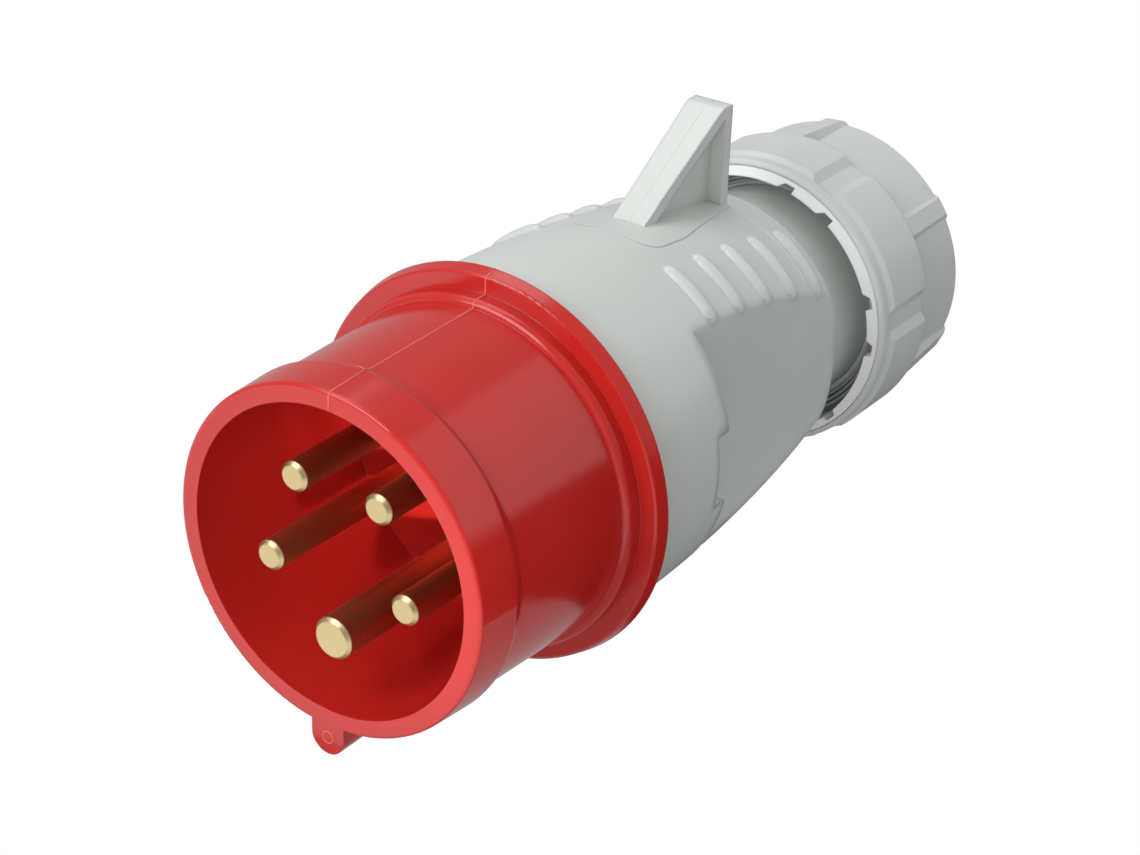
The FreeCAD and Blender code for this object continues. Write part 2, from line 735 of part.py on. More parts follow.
def make_retainer_screws():
    """Two slotted screws that hold the rear plate."""
    plate_end = terminal_end + S.plate_thickness
    foot = plate_end - S.plate_screw_length
    top = plate_end + S.plate_screw_head_height
    body = new_body("retainer_screws")
    threads = section_sketch(body, "thread_outlines", foot)
    places = [at_angle(S.pin_circle, angle) for angle in plate_screw_places()]
    draw_circles(threads, [(*place, S.plate_screw_radius) for place in places])
    raise_section(body, "threads", threads, S.plate_screw_length)
    heads = section_sketch(body, "head_outlines", plate_end)
    draw_circles(heads, [(*place, S.plate_screw_head) for place in places])
    raise_section(body, "heads", heads, S.plate_screw_head_height)
    for number, (x, z) in enumerate(places):
        slot = section_sketch(body, f"slot_outline_{number}", top - S.slot_depth)
        draw_outline(slot, [
            (x - S.plate_screw_head, z - S.slot_width / 2),
            (x + S.plate_screw_head, z - S.slot_width / 2),
            (x + S.plate_screw_head, z + S.slot_width / 2),
            (x - S.plate_screw_head, z + S.slot_width / 2),
        ])
        cut_section(body, f"slot_{number}", slot, S.slot_depth)
    turn_by(body, S.earth_angle)
    return body


def make_housing_gasket():
    """The flat seal between flange and rear housing."""
    outer = socket_radius + S.gasket_width
    return turned_body("housing_gasket", [
        (flange_back, socket_radius),
        (flange_back, outer),
        (housing_front, outer),
        (housing_front, socket_radius),
    ])


def make_housing_form():
    """The housing's outer form, bowed lengthwise, with the shoulder and the neck."""
    shoulder_end = bow_end + S.shoulder_reach
    corners = [
        (housing_front, 0),
        (housing_front, housing_radius),
        (bow_start, housing_radius),
        (bow_end, bow_radius_at(bow_end)),
        (shoulder_end, S.neck_radius + S.root_rise),
        (neck_start, S.neck_radius),
        (neck_end, S.neck_radius),
        (neck_end, 0),
    ]
    arcs = {2: (S.bow_radius, 1), 3: (S.shoulder_radius, 1), 4: (S.root_radius, -1)}
    return turned_body("housing_form", corners, arcs)


def make_grip_ribs():
    """Rows of rounded ribs on both upper sides. Each follows the housing round the axis."""
    ribs = []
    for number in range(S.rib_count.number):
        station = housing_front + S.rib_setback + S.rib_pitch * number
        surface = bow_radius_at(station)
        center = surface + S.rib_height - S.rib_section
        low = angle_with((flat_distance - S.rib_inset) / surface)
        span = angle_with(S.rib_upper_side / surface) - low
        ring = doc.addObject("Part::Torus", f"rib_ring_{number}")
        ring.Placement.Rotation = FreeCAD.Rotation(FreeCAD.Vector(1, 0, 0), 90)
        bind(ring, "Radius1", center)
        bind(ring, "Radius2", S.rib_section)
        bind(ring, "Angle3", span)
        bind(ring, "Placement.Base.y", station)
        pieces = [ring]
        for name, angle in (("low", as_size(0)), ("high", span)):
            end = doc.addObject("Part::Sphere", f"rib_{name}_{number}")
            x, z = at_angle(center, angle)
            bind(end, "Radius", S.rib_section)
            bind(end, "Placement.Base.x", x)
            bind(end, "Placement.Base.y", station)
            bind(end, "Placement.Base.z", z)
            pieces.append(end)
        rib = join(f"rib_{number}", pieces)
        turn_by(rib, low)
        ribs.append(rib)
    right = join("ribs_right", ribs)
    left = doc.addObject("Part::Mirroring", "ribs_left")
    left.Source = right
    left.Normal = FreeCAD.Vector(1, 0, 0)
    return [right, left]


def prism_over(label, corners, height, arcs=None):
    """A prism that stands on the XY plane over an outline of (x, station) corners."""
    body = new_body(label)
    sketch = new_sketch(body, label + "_outline", "XY_Plane")
    draw_outline(sketch, corners, arcs)
    pad = body.newObject("PartDesign::Pad", label + "_raised")
    pad.Profile = sketch
    bind(pad, "Length", height)
    return body


def make_catch_pad():
    """The low raised field round the foot of the catch."""
    front = fin_foot - S.pad_lead
    rear = fin_rear
    skin = turned_body("pad_skin", [
        (front, bow_radius_at(front) - S.housing_wall / 2),
        (front, bow_radius_at(front) + S.pad_rise),
        (rear, bow_radius_at(rear) + S.pad_rise),
        (rear, bow_radius_at(rear) - S.housing_wall / 2),
    ], {1: (S.bow_radius + S.pad_rise, 1)})
    half = S.pad_width / 2
    plan = prism_over("pad_plan", [
        (-half, front + S.pad_corner),
        (-half + S.pad_corner, front),
        (half - S.pad_corner, front),
        (half, front + S.pad_corner),
        (half, front + S.pad_straight),
        (S.pad_rear_width / 2, rear),
        (-S.pad_rear_width / 2, rear),
        (-half, front + S.pad_straight),
    ], S.fin_height, {0: (S.pad_corner, 1), 2: (S.pad_corner, 1)})
    return overlap_of("catch_pad", skin, plan)


def make_catch():
    """The catch for a socket's lid: a sloping plate and a rear plate, held by a web."""
    run = S.fin_length - S.fin_flat
    rise = S.fin_height - S.fin_foot_height
    slope = square_root(run * run + rise * rise)
    top = fin_rear - S.fin_flat
    ease_x = S.fin_round_reach * run / slope
    ease_z = S.fin_round_reach * rise / slope
    round_radius = S.fin_round_reach * (run + slope) / rise
    base = bow_radius_at(fin_rear) - S.housing_wall / 2
    inner_rear = fin_rear - S.fin_plate
    drop = S.fin_plate * slope / run
    inner_foot = S.fin_foot_height - drop
    inner_top = inner_foot + (inner_rear - fin_foot) * rise / run
    outline = [
        (fin_foot, base),
        (fin_foot, S.fin_foot_height),
        (top - ease_x, S.fin_height - ease_z),
        (top + S.fin_round_reach, S.fin_height),
        (fin_rear, S.fin_height),
        (fin_rear, base),
    ]
    rounding = {2: (round_radius, -1)}
    plates = new_body("catch_plates")
    band = new_sketch(plates, "band_outline", "YZ_Plane")
    inside = [(inner_rear, base), (inner_rear, inner_top)]
    draw_outline(band, [(fin_foot, inner_foot)] + outline[1:] + inside, rounding)
    raise_middle(plates, "band", band, S.fin_rear_width)
    plan = prism_over("catch_plan", [
        (-S.fin_foot_width / 2, fin_foot),
        (S.fin_foot_width / 2, fin_foot),
        (S.fin_rear_width / 2, fin_rear),
        (-S.fin_rear_width / 2, fin_rear),
    ], S.fin_height)
    web = new_body("catch_web")
    web_outline = new_sketch(web, "web_outline", "YZ_Plane")
    draw_outline(web_outline, outline, rounding)
    raise_middle(web, "web", web_outline, S.fin_web)
    return [overlap_of("catch_shell", plates, plan), web]


def make_flat_cuts():
    """What the two flat sides and their notches take away."""
    outside = housing_radius * 2
    cuts = []
    for side, low, high in (("right", flat_distance, outside), ("left", -outside, -flat_distance)):
        cuts.append(block(f"flat_{side}", (low, flat_start, -outside), (high, neck_start, outside)))
        cuts.append(block(
            f"notch_{side}",
            (low, flat_start - S.notch_length, -S.notch_width / 2),
            (high, flat_start, S.notch_width / 2),
        ))
    return cuts


def make_finger_cut():
    """What the row of shallow finger swells on the underside takes away."""
    body = new_body("finger_cut")
    first = housing_front + S.scallop_setback
    count = S.scallop_count.number
    valleys = [first + S.scallop_pitch * number for number in range(count)]
    last = valleys[-1] + S.scallop_pitch
    outside = housing_radius + S.rib_height
    corners = [(flat_start, bow_radius_at(flat_start))]
    corners += [(station, bow_radius_at(station) - S.scallop_depth) for station in valleys]
    corners += [(last, bow_radius_at(last)), (last, outside), (flat_start, outside)]
    arcs = {index: (S.scallop_radius, -1) for index in range(count + 1)}
    sketch = new_sketch(body, "finger_cut_outline", "YZ_Plane")
    draw_outline(sketch, [(station, -radius) for station, radius in corners], arcs)
    turned = body.newObject("PartDesign::Revolution", "finger_cut_turned")
    turned.Profile = sketch
    turned.ReferenceAxis = (sketch, ["H_Axis"])
    turned.Midplane = True
    bind(turned, "Angle", S.scallop_angle)
    return body


def make_bayonet_slots():
    """Three slots inside the housing's front for the barrel's lugs: a way in, then a run to the lock."""
    slot_radius = barrel_radius + S.bayonet_height + S.bayonet_gap
    slot_foot = socket_radius - S.bayonet_gap
    lug_front = flange_back + S.bayonet_setback - S.bayonet_gap
    lug_rear = lug_front + S.bayonet_length + S.bayonet_gap * 2
    slot_angle = S.bayonet_angle + S.bayonet_play_angle
    body = new_body("bayonet_slots")
    run = turn_outline(body, "slot_run", [
        (lug_front, slot_foot), (lug_front, slot_radius), (lug_rear, slot_radius), (lug_rear, slot_foot),
    ], angle=slot_angle + S.bayonet_turn_angle)
    way_in = turn_outline(body, "slot_way_in", [
        (housing_front, slot_foot),
        (housing_front, slot_radius),
        (lug_rear, slot_radius),
        (lug_rear, slot_foot),
    ], angle=slot_angle)
    turned_plane = way_in.Profile[0]
    turned_plane.AttachmentOffset.Rotation = FreeCAD.Rotation(FreeCAD.Vector(0, -1, 0), 1)
    bind(turned_plane, "AttachmentOffset.Rotation.Angle", S.bayonet_turn_angle / 2)
    for feature in (run, way_in):
        feature.Midplane = True
    repeat_round(body, "slots", [run, way_in], S.bayonet_count)
    turn_by(body, S.bayonet_turn_angle / 2)
    return body


def make_rear_housing():
    """The grey rear housing in one moulding."""
    solid = join("housing_solid", [make_housing_form(), make_catch_pad(), *make_catch(), *make_grip_ribs()])
    cuts = join("housing_cuts", [*make_flat_cuts(), make_finger_cut()])
    trimmed = subtract("housing_trimmed", solid, cuts)
    chamber = overlap_of(
        "chamber",
        turned_body("chamber_form", [
            (chamber_start, 0),
            (chamber_start, bow_radius_at(chamber_start) - S.housing_wall),
            (chamber_end, bow_radius_at(chamber_end) - S.housing_wall),
            (chamber_end, 0),
        ], {1: (S.bow_radius - S.housing_wall, 1)}),
        block("chamber_width",
              (-inner_flat, chamber_start, -housing_radius),
              (inner_flat, chamber_end, housing_radius)),
    )
    hollow = join("housing_hollow", [
        rod("socket", socket_radius, housing_front, chamber_start),
        chamber,
        rod("ledge_hole", S.ledge_radius, chamber_end, seal_front),
        rod("gland_hole", S.gland_bore, seal_front, neck_end),
    ])
    return subtract("rear_housing", subtract("hollow_housing", trimmed, hollow), make_bayonet_slots())


def make_sealing_insert():
    """The rubber seal round the cable, with a funnel at the rear."""
    outer = S.gland_bore - S.seal_fit
    return turned_body("sealing_insert", [
        (seal_front, S.seal_bore),
        (seal_front, outer),
        (seal_end, outer),
        (seal_end, S.seal_funnel),
        (seal_end - S.seal_dish, S.seal_bore),
    ])


def make_seal_washer():
    """The slip washer between seal and clamping cage."""
    outer = S.gland_bore - S.seal_fit
    return turned_body("seal_washer", [
        (seal_end, S.washer_bore),
        (seal_end, outer),
        (washer_end, outer),
        (washer_end, S.washer_bore),
    ])


def make_clamp_cage():
    """The clamping cage: a ring with fingers that the nut's cone presses on the cable."""
    outer = S.gland_bore - S.cage_fit
    inner = outer - S.cage_wall
    bend = cone_start - S.finger_gap
    tip = cone_end - S.finger_gap * 2
    body = turned_body("clamp_cage", [
        (cage_start, inner),
        (cage_start, outer),
        (bend, outer),
        (tip, S.cone_end_radius),
        (tip, S.cone_end_radius - S.finger_tip),
        (bend - S.cage_wall, inner),
    ])
    slot_outline = section_sketch(body, "finger_slot_outline", cage_start + S.cage_ring)
    half = S.cage_slot / 2
    draw_outline(slot_outline, [
        (S.cone_end_radius - S.cage_wall, -half),
        (S.gland_bore, -half),
        (S.gland_bore, half),
        (S.cone_end_radius - S.cage_wall, half),
    ])
    slot = cut_section(body, "finger_slot", slot_outline, tip - cage_start)
    repeat_round(body, "finger_slots", [slot], S.finger_count)
    return body


def make_ratchet_ring():
    """The ring in the nut's mouth, with pairs of notches that click past the neck."""
    outer = S.ring_seat - S.ring_fit
    body = turned_body("ratchet_ring", [
        (nut_front, S.ring_bore),
        (nut_front + S.ring_slope, outer),
        (ring_end, outer),
        (ring_end, S.ring_bore),
    ])
    half = S.notch_span / 2
    inside = S.ring_bore - S.notch_depth
    floor = S.ring_bore + S.notch_depth
    notches = []
    for name, angle in (("low", -S.notch_angle), ("high", S.notch_angle)):
        outline = section_sketch(body, f"notch_outline_{name}", nut_front)
        bind(outline, "AttachmentOffset.Rotation.Angle", angle)
        draw_outline(outline, [
            (inside, -half),
            (floor, -half),
            (floor, half - S.notch_slant),
            (inside, half + S.notch_slant),
        ])
        notches.append(cut_section(body, f"notch_{name}", outline, S.ring_length))
    repeat_round(body, "notches", notches, S.grip_count)
    turn_by(body, S.ring_phase)
    return body


def tail_rib_outline(body, name, station, top):
    """The section of a rib on the nut's rear part."""
    sketch = section_sketch(body, name, station)
    foot = S.tail_radius - S.tail_edge
    draw_outline(sketch, [
        (foot, -S.tail_rib_foot / 2),
        (top, -S.tail_rib_width / 2),
        (top, S.tail_rib_width / 2),
        (foot, S.tail_rib_foot / 2),
    ])
    return sketch


def make_gland_nut():
    """The gland nut: grip pads with recesses in front, ribs behind, thread and cone inside."""
    lip_front = nut_front + S.ring_slope
    pads_front = nut_front + S.pad_start
    pads_end = pads_front + S.pad_length
    thread_end = nut_front + S.mouth_depth
    body = turned_body("gland_nut", [
        (lip_front, S.ring_seat),
        (lip_front, S.nut_rim_radius - S.nut_edge),
        (lip_front + S.nut_edge, S.nut_rim_radius),
        (pads_front, S.nut_rim_radius),
        (pads_front + S.pad_slope, S.pad_radius),
        (pads_end, S.pad_radius),
        (pads_end, S.tail_radius),
        (nut_end - S.tail_edge, S.tail_radius),
        (nut_end, S.tail_radius - S.tail_edge),
        (nut_end, S.cable_mouth),
        (cone_end, S.cable_mouth),
        (cone_end, S.cone_end_radius),
        (cone_start, S.cone_radius),
        (cone_start, nut_bore),
        (thread_end, nut_bore),
        (thread_end, S.ring_bore),
        (ring_end, S.ring_bore),
        (ring_end, S.ring_seat),
    ], {1: (S.nut_edge, 1), 7: (S.tail_edge, 1)})
    rib = body.newObject("PartDesign::AdditiveLoft", "tail_rib")
    rib.Profile = tail_rib_outline(body, "tail_rib_front", pads_end, S.tail_rib_radius)
    rib.Sections = [tail_rib_outline(body, "tail_rib_rear", nut_end, S.tail_rib_end_radius)]
    rib.Ruled = True
    repeat_round(body, "tail_ribs", [rib], S.grip_count)
    outside = S.pad_radius + S.recess_depth
    turn_outline(body, "tail_rounding", [
        (nut_end - S.tail_edge, outside),
        (nut_end - S.tail_edge, S.tail_rib_end_radius),
        (nut_end, S.tail_rib_end_radius - S.tail_edge),
        (nut_end + S.tail_edge, S.tail_rib_end_radius - S.tail_edge),
        (nut_end + S.tail_edge, outside),
    ], {1: (S.tail_edge, 1)}, kind="PartDesign::Groove")
    floor = S.pad_radius - S.recess_depth
    half = S.recess_width / 2
    floor_side = square_root(floor * floor - half * half)
    recess_outline = section_sketch(body, "recess_outline", pads_front)
    bind(recess_outline, "AttachmentOffset.Rotation.Angle", as_size(180) / S.grip_count)
    draw_outline(recess_outline, [
        (floor_side, -half),
        (outside, -half - S.recess_flare * 2),
        (outside, half + S.recess_flare * 2),
        (floor_side, half),
    ], {3: (floor, -1)})
    recess = cut_section(body, "recess", recess_outline, S.pad_length)
    repeat_round(body, "recesses", [recess], S.grip_count)
    turn_by(body, S.nut_phase)
    return body


def make_parts():
    """All sub-parts, each one piece or one group of like pieces."""
    contacts = [make_contact(index, angle) for index, angle in enumerate(contact_angles(S.earth_angle))]
    return [
        make_shroud(),
        *contacts,
        make_terminal_screws(),
        make_wire_saddles(),
        make_contact_carrier(),
        make_contact_retainer(),
        make_retainer_screws(),
        make_housing_gasket(),
        make_rear_housing(),
        make_sealing_insert(),
        make_seal_washer(),
        make_clamp_cage(),
        make_ratchet_ring(),
        make_gland_nut(),
    ]


def check_document(parts):
    """Stop if anything in the document failed."""
    for item in doc.Objects:
        if "Invalid" in item.State or "Error" in item.State:
            raise RuntimeError(f"{item.Label} failed: {item.State}")
    for part in parts:
        if part.Shape.isNull() or not part.Shape.isValid():
            raise RuntimeError(f"{part.Label} has no valid shape")


def write_parts(parts):
    os.makedirs("parts", exist_ok=True)
    for part in parts:
        part.Shape.exportStep(f"parts/{part.Label}.step")
        print(part.Label, len(part.Shape.Solids), round(part.Shape.Volume, 1))


parts = make_parts()
doc.recompute()
check_document(parts)
write_parts(parts)
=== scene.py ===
import math

import bpy
from mathutils import Matrix, Vector


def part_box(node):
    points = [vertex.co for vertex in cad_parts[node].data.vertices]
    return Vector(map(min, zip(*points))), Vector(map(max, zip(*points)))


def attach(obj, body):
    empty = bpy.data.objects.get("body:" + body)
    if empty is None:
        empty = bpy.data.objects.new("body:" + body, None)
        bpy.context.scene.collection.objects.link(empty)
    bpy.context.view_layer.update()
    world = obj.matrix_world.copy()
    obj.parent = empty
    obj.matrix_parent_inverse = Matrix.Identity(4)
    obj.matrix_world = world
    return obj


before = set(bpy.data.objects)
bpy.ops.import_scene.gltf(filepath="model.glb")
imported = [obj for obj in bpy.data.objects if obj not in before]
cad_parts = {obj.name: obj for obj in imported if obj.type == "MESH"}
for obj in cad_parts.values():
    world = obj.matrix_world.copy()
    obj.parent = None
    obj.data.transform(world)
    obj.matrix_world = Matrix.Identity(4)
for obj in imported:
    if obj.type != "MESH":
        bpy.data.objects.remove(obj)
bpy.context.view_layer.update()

# Camera, fitted to the photograph. Lengths are in metres, angles in degrees, the sensor in millimetres.
CAMERA_AZIMUTH = 34.370
CAMERA_ELEVATION = 27.428
CAMERA_ROLL = 2.141
CAMERA_DISTANCE = 0.437316
CAMERA_AIM = Vector((0.0, 0.065, 0.0))
CAMERA_SLIDE = (-0.0018336, -0.0032693)
FOCAL_PIXELS = 2659.86
IMAGE_WIDTH = 1140
SENSOR_WIDTH = 36.0

# Stage. The floor's half width is in metres.
FLOOR_HALF = 3.0
FLOOR_GLOW = 1.0
AMBIENT_GLOW = 0.45
CARD_SLOPE = 0.067
ONE_FACE = [(0, 1, 2, 3)]

# Rounding of edges in the finishes, in metres
MOULDED_EDGE = 0.0003
LINE_EDGE = 0.00002
CATCH_EDGE = 0.0009
FLAT_EDGE = 0.0032

# Span of a noise's values over which colour and gloss drift, and depth of the grain in metres
NOISE_SPAN = (0.3, 0.7)
GRAIN_DEPTH = 0.0002

# Where the wider rounding of the grey housing begins and is full, in metres
FLAT_SIDE = (0.0190, 0.0212)
FLAT_START = (0.056, 0.060)
CATCH_FOOT = (0.0306, 0.0320)

# Bowed barrel of the grey housing, in millimetres
BARREL_RADIUS = 30.66
BOW_RADIUS = 280.0
BOW_STATION = 48.8
STEP_STATION = 100.6

# Grip ribs, in millimetres. LOWER_X and UPPER_X are how far from the middle a rib's two ends lie.
RIB_COUNT = 5
RIB_STATION = 69.3
RIB_PITCH = 8.4
RIB_LOWER_X = 22.1
RIB_UPPER_X = 12.3
CREST_HALF_WIDTH = 1.45
CREST_HEIGHT = 1.25
CREST_SINK = 0.25

# Cross-section of a fine ridge, as shares of its width and height
RIDGE_SECTION = ((-0.5, -1.0), (-0.38, 0.45), (-0.18, 0.92), (0.18, 0.92), (0.38, 0.45), (0.5, -1.0))

Z_AXIS = Vector((0.0, 0.0, 1.0))


def camera_axes():
    """Right, up and backward directions of the camera."""
    azimuth = math.radians(CAMERA_AZIMUTH)
    elevation = math.radians(CAMERA_ELEVATION)
    roll = math.radians(CAMERA_ROLL)
    back = Vector((
        math.sin(azimuth) * math.cos(elevation),
        -math.cos(azimuth) * math.cos(elevation),
        math.sin(elevation),
    ))
    level = Vector((math.cos(azimuth), math.sin(azimuth), 0.0))
    above = back.cross(level)
    right = level * math.cos(roll) + above * math.sin(roll)
    up = above * math.cos(roll) - level * math.sin(roll)
    return right, up, back


RIGHT, UP, BACK = camera_axes()


def basis(x_axis, y_axis, z_axis, place):
    """A matrix from three directions and a place."""
    matrix = Matrix((x_axis, y_axis, z_axis)).transposed().to_4x4()
    matrix.translation = place
    return matrix


def aimed(place, target, across=None):
    """A matrix at place that looks at target, level or with its own X along across."""
    away = (place - target).normalized()
    if across is None:
        side = Z_AXIS.cross(away).normalized()
    else:
        side = (across - away * across.dot(away)).normalized()
    return basis(side, away.cross(side), away, place)


def add_camera():
    data = bpy.data.cameras.new("camera")
    data.sensor_width = SENSOR_WIDTH
    data.lens = FOCAL_PIXELS * SENSOR_WIDTH / IMAGE_WIDTH
    data.clip_start = 0.01
    data.clip_end = 20.0
    camera = bpy.data.objects.new("camera", data)
    bpy.context.collection.objects.link(camera)
    place = CAMERA_AIM + BACK * CAMERA_DISTANCE + RIGHT * CAMERA_SLIDE[0] + UP * CAMERA_SLIDE[1]
    camera.matrix_world = basis(RIGHT, UP, BACK, place)
    bpy.context.scene.camera = camera


def add_light(name, kind, power, matrix):
    """A light that shines along its own -Z."""
    data = bpy.data.lights.new(name, kind)
    data.energy = power
    light = bpy.data.objects.new(name, data)
    bpy.context.collection.objects.link(light)
    light.matrix_world = matrix
    return light


def add_panel(name, power, width, height, matrix):
    """A rectangular light."""
    light = add_light(name, "AREA", power, matrix)
    light.data.shape = "RECTANGLE"
    light.data.size = width
    light.data.size_y = height
    return light


def add_softbox(name, direction, power, width=0.5, height=0.5, distance=0.8):
    """A panel that looks at the part. direction is in camera axes: right, up, back."""
    away = (RIGHT * direction[0] + UP * direction[1] + BACK * direction[2]).normalized()
    return add_panel(name, power, width, height, aimed(CAMERA_AIM + away * distance, CAMERA_AIM))


def add_side_window():
    """A panel whose reflection draws an edged field on the shroud's right."""
    place, length_axis = Vector((0.25, 0.40, 0.25)), Vector((-0.72, 0.0, 0.69))
    matrix = aimed(place, CAMERA_AIM, length_axis)
    add_panel("side_window", power=0.34, width=0.50, height=0.40, matrix=matrix)


def add_cavity_light():
    """A narrow beam into the open shroud, left out of reflections."""
    place, inside = Vector((0.22, -0.48, 0.05)), Vector((0.0, 0.012, 0.0))
    beam = add_light("cavity_light", "SPOT", power=15.0, matrix=aimed(place, inside))
    beam.data.spot_size = math.radians(4.3)
    beam.data.spot_blend = 0.25
    beam.data.shadow_soft_size = 0.014
    beam.visible_glossy = False


def add_front_card():
    """A pale card on the surface before the rim, seen only in reflections."""
    across = Vector((1.0, 0.0, 0.0))
    along = Vector((0.0, -1.0, -CARD_SLOPE)).normalized()
    place = Vector((-0.15, -0.255, -0.0525))
    matrix = basis(across, along, across.cross(along), place)
    card = add_panel("front_card", power=0.85, width=0.6, height=0.5, matrix=matrix)
    card.visible_diffuse = False


def add_lights():
    add_softbox("key_softbox", (-0.66, 0.36, 0.69), power=3.6)
    add_softbox("top_softbox", (-0.2, 1.0, 0.1), power=1.3, width=0.6, height=0.4, distance=0.75)
    add_side_window()
    fill = add_softbox("front_fill", (-0.25, -0.33, 0.86), power=1.45)
    fill.visible_glossy = False
    add_cavity_light()
    add_front_card()
    world = bpy.data.worlds.new("world")
    world.use_nodes = True
    background = world.node_tree.nodes["Background"]
    background.inputs["Color"].default_value = (1.0, 1.0, 1.0, 1.0)
    background.inputs["Strength"].default_value = AMBIENT_GLOW
    bpy.context.scene.world = world


def lit_material(name, strength):
    """An evenly lit white surface that shows no shadow, or a black one where strength is nought."""
    material = bpy.data.materials.new(name)
    material.use_nodes = True
    shader = material.node_tree.nodes["Principled BSDF"]
    shader.inputs["Base Color"].default_value = (0.0, 0.0, 0.0, 1.0)
    shader.inputs["Specular IOR Level"].default_value = 0.0
    shader.inputs["Emission Color"].default_value = (1.0, 1.0, 1.0, 1.0)
    shader.inputs["Emission Strength"].default_value = strength
    return material


def add_sheet(name, corners, faces, glow, camera=False, glossy=False, transmission=False, shadow=False):
    """A flat sheet that lights nothing and is seen only by the named kinds of ray."""
    mesh = bpy.data.meshes.new(name)
    mesh.from_pydata(corners, [], faces)
    mesh.materials.append(lit_material(name + "_paint", glow))
    sheet = bpy.data.objects.new(name, mesh)
    bpy.context.collection.objects.link(sheet)
    sheet.visible_diffuse = False
    sheet.visible_camera = camera
    sheet.visible_glossy = glossy
    sheet.visible_transmission = transmission
    sheet.visible_shadow = shadow
    return sheet


def add_flags():
    """Black cards under and beside the part that only reflections see."""
    under = [(-0.1, 0.05, -0.034), (0.9, 0.05, -0.034), (0.9, 0.9, 0.023), (-0.1, 0.9, 0.023)]
    beside = [(0.75, 0.0, -0.3), (0.75, 0.0, 0.06), (0.0, 0.8, 0.06), (0.0, 0.8, -0.3)]
    for name, corners in (("floor_flag", under), ("side_flag", beside)):
        flag = add_sheet(name, corners, ONE_FACE, 0.0, glossy=True)


def add_floor():
    """The pale surface, tilted because the part lies on its flange and nut, and the white walls round it."""
    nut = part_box("gland_nut")
    flange_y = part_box("housing_gasket")[0][1]
    flange_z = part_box("shroud")[0][2]
    nut_y = (nut[0][1] + nut[1][1]) / 2
    nut_z = nut[0][2]
    slope = (nut_z - flange_z) / (nut_y - flange_y)
    signs = ((-1, -1), (1, -1), (1, 1), (-1, 1))
    plan = [(FLOOR_HALF * x, FLOOR_HALF * y) for x, y in signs]
    corners = [(x, y, flange_z + slope * (y - flange_y)) for x, y in plan]
    floor = add_sheet("floor", corners, ONE_FACE, FLOOR_GLOW, camera=True, transmission=True, shadow=True)
    raised = [(x, y, z + 2 * FLOOR_HALF) for x, y, z in corners]
    walls = [(index, (index + 1) % 4, (index + 1) % 4 + 4, index + 4) for index in range(4)]
    backdrop = add_sheet("backdrop", corners + raised, walls, FLOOR_GLOW, camera=True)


def add_noise(tree, place, scale, detail):
    """The value of a noise at the given scale."""
    noise = tree.nodes.new("ShaderNodeTexNoise")
    noise.inputs["Scale"].default_value = scale
    noise.inputs["Detail"].default_value = detail
    tree.links.new(place, noise.inputs["Vector"])
    return noise.outputs["Fac"]


def add_range(tree, value, limits, low, high=0.0):
    """A node that turns a value between limits into one between low and high."""
    node = tree.nodes.new("ShaderNodeMapRange")
    node.inputs["From Min"].default_value = limits[0]
    node.inputs["From Max"].default_value = limits[1]
    node.inputs["To Min"].default_value = low
    node.inputs["To Max"].default_value = high
    tree.links.new(value, node.inputs["Value"])
    return node


def housing_rounding(tree, place):
    """Rounding of the grey housing's edges: wide round its flats, less on the catch and fine elsewhere."""
    parts = tree.nodes.new("ShaderNodeSeparateXYZ")
    tree.links.new(place, parts.inputs["Vector"])
    aside = tree.nodes.new("ShaderNodeMath")
    aside.operation = "ABSOLUTE"
    tree.links.new(parts.outputs["X"], aside.inputs[0])
    beside = add_range(tree, aside.outputs["Value"], FLAT_SIDE, MOULDED_EDGE, FLAT_EDGE)
    behind = add_range(tree, parts.outputs["Y"], FLAT_START, MOULDED_EDGE)
    tree.links.new(beside.outputs["Result"], behind.inputs["To Max"])
    above = add_range(tree, parts.outputs["Z"], CATCH_FOOT, 0.0, CATCH_EDGE)
    widest = tree.nodes.new("ShaderNodeMath")
    widest.operation = "MAXIMUM"
    tree.links.new(behind.outputs["Result"], widest.inputs[0])
    tree.links.new(above.outputs["Result"], widest.inputs[1])
    return widest.outputs["Value"]


def moulded_material(name, dark, light, rough_low, rough_high, edge=MOULDED_EDGE, rounding=None,
                     bump=0.02, grain=900.0, cloud=35.0):
    """Moulded plastic or rubber: colour that drifts a little, uneven gloss, soft edges and a fine grain."""
    material = bpy.data.materials.new(name)
    material.use_nodes = True
    tree = material.node_tree
    shader = tree.nodes["Principled BSDF"]
    place = tree.nodes.new("ShaderNodeTexCoord").outputs["Object"]

    colors = tree.nodes.new("ShaderNodeValToRGB")
    for element, position, color in zip(colors.color_ramp.elements, NOISE_SPAN, (dark, light)):
        element.position = position
        element.color = (*color, 1.0)
    tree.links.new(add_noise(tree, place, cloud, 4.0), colors.inputs["Fac"])
    tree.links.new(colors.outputs["Color"], shader.inputs["Base Color"])

    gloss = add_range(tree, add_noise(tree, place, cloud * 4, 6.0), NOISE_SPAN, rough_low, rough_high)
    tree.links.new(gloss.outputs["Result"], shader.inputs["Roughness"])

    softened = tree.nodes.new("ShaderNodeBevel")
    softened.samples = 4
    softened.inputs["Radius"].default_value = edge
    if rounding:
        tree.links.new(rounding(tree, place), softened.inputs["Radius"])
    relief = tree.nodes.new("ShaderNodeBump")
    relief.inputs["Strength"].default_value = bump
    relief.inputs["Distance"].default_value = GRAIN_DEPTH
    tree.links.new(softened.outputs["Normal"], relief.inputs["Normal"])
    tree.links.new(add_noise(tree, place, grain, 3.0), relief.inputs["Height"])
    tree.links.new(relief.outputs["Normal"], shader.inputs["Normal"])
    return material


